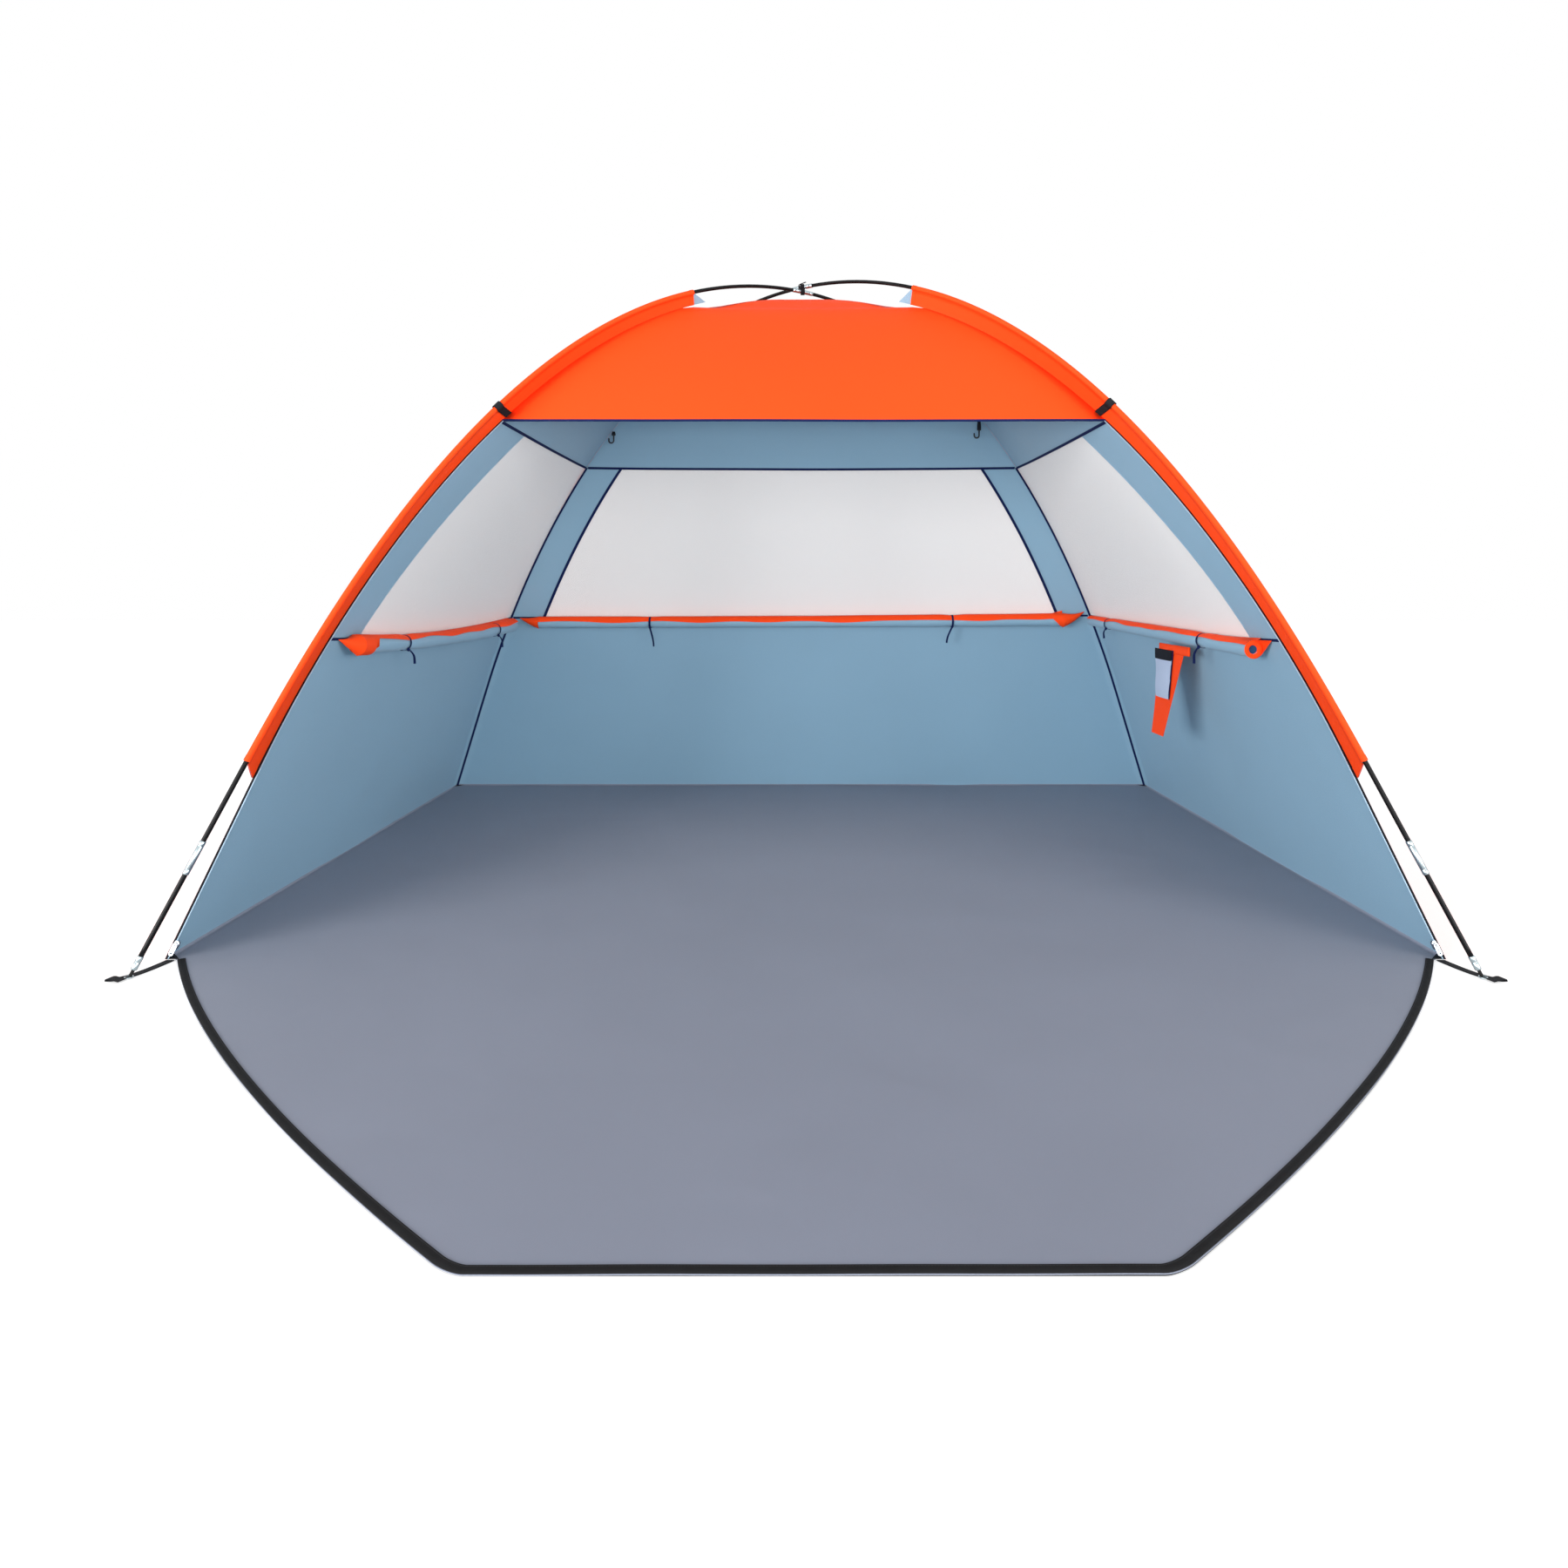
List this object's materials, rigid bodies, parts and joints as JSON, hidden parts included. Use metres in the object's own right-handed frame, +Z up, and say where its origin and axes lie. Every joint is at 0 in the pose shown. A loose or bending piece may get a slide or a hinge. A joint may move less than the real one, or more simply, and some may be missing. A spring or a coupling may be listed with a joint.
{
  "type": "beach tent",
  "caption": "Open-fronted beach tent on crossed bent poles, with net windows, rolled window flaps and a groundsheet flap that folds up in front.",
  "frame": {"origin": "on the ground at the middle of the groundsheet, between its four corners", "axes": "+Z up, +X to the right seen from the open front, -Y out through the open front"},
  "size_m": [2.3458, 2.3072, 1.4196],
  "materials": {
    "orange_cloth": "woven polyester, matt",
    "blue_grey_cloth": "coated inner side of polyester, matt",
    "window_net": "fine knitted net",
    "floor_cloth": "coated woven groundsheet",
    "black_tape": "woven webbing and zip tape",
    "black_rod": "smooth fibreglass rod",
    "black_plastic": "moulded",
    "elastic": "braided elastic",
    "steel": "plated"
  },
  "bodies": {
    "tent": {"back_pillar_left": "blue_grey_cloth", "back_pillar_right": "blue_grey_cloth", "back_roll_tie_left": "black_tape", "back_roll_tie_right": "black_tape", "back_wall": "blue_grey_cloth", "back_window_flap_roll": "blue_grey_cloth", "back_window_net": "window_net", "brow_keeper_front_left": "black_tape", "brow_keeper_front_right": "black_tape", "corner_strap_front_left": "black_tape", "corner_strap_front_right": "black_tape", "corner_strap_rear_left": "black_tape", "corner_strap_rear_right": "black_tape", "crossing_lashing": "black_tape", "floor_sheet": "floor_cloth", "front_roof": "orange_cloth", "high_pole_ferrule_middle": "steel", "high_pole_shock_cord": "elastic", "left_front_strip": "blue_grey_cloth", "left_roll_tie_front": "black_tape", "left_roll_tie_rear": "black_tape", "left_roof": "orange_cloth", "left_wall": "blue_grey_cloth", "left_window_flap_roll": "blue_grey_cloth", "left_window_net": "window_net", "left_zip_tape": "black_tape", "low_pole_ferrule_middle": "steel", "low_pole_shock_cord": "elastic", "pole_end_front_left": "black_rod", "pole_end_front_right": "black_rod", "pole_end_rear_left": "black_rod", "pole_end_rear_right": "black_rod", "pole_ferrule_front_left": "steel", "pole_ferrule_front_right": "steel", "pole_ferrule_rear_left": "steel", "pole_ferrule_rear_right": "steel", "pole_section_front_left": "black_rod", "pole_section_front_right": "black_rod", "pole_section_rear_left": "black_rod", "pole_section_rear_right": "black_rod", "pole_sleeve_front_left": "orange_cloth", "pole_sleeve_front_right": "orange_cloth", "pole_sleeve_rear_left": "orange_cloth", "pole_sleeve_rear_right": "orange_cloth", "rear_roof": "orange_cloth", "right_front_strip": "blue_grey_cloth", "right_roll_tie_front": "black_tape", "right_roll_tie_rear": "black_tape", "right_roof": "orange_cloth", "right_wall": "blue_grey_cloth", "right_window_flap_roll": "blue_grey_cloth", "right_window_net": "window_net", "right_zip_tape": "black_tape"},
    "front_flap": {"front_flap": "floor_cloth"},
    "hanging_strap": {"hanging_strap": "orange_cloth"},
    "ceiling_hook_left": {"ceiling_hook_left": "black_plastic"},
    "ceiling_hook_right": {"ceiling_hook_right": "black_plastic"},
    "left_zip_slider": {"left_zip_slider": "steel"},
    "right_zip_slider": {"right_zip_slider": "steel"}
  },
  "joints": [
    {"name": "flap_fold", "type": "hinge", "parent": "tent", "child": "front_flap", "pos_m": [0, -0.7256, 0.002], "axis": [-1, 0, 0], "range_deg": [0, 100]},
    {"name": "strap_swing", "type": "hinge", "parent": "tent", "child": "hanging_strap", "pos_m": [0.88812, -0.121, 0.51647], "axis": [0, 1, 0], "range_deg": [-20, 85]},
    {"name": "left_hook_swing", "type": "hinge", "parent": "tent", "child": "ceiling_hook_left", "pos_m": [-0.5424, 0.348, 1.10352], "axis": [1, 0, 0], "range_deg": [-40, 20]},
    {"name": "right_hook_swing", "type": "hinge", "parent": "tent", "child": "ceiling_hook_right", "pos_m": [0.5085, 0.32625, 1.13773], "axis": [1, 0, 0], "range_deg": [-60, 20]},
    {"name": "left_zip_run", "type": "slide", "parent": "tent", "child": "left_zip_slider", "axis": [0.3406, 0.2185, 0.9145], "range_m": [0, 0.3]},
    {"name": "right_zip_run", "type": "slide", "parent": "tent", "child": "right_zip_slider", "axis": [-0.3406, 0.2185, 0.9145], "range_m": [0, 0.3]}
  ]
}
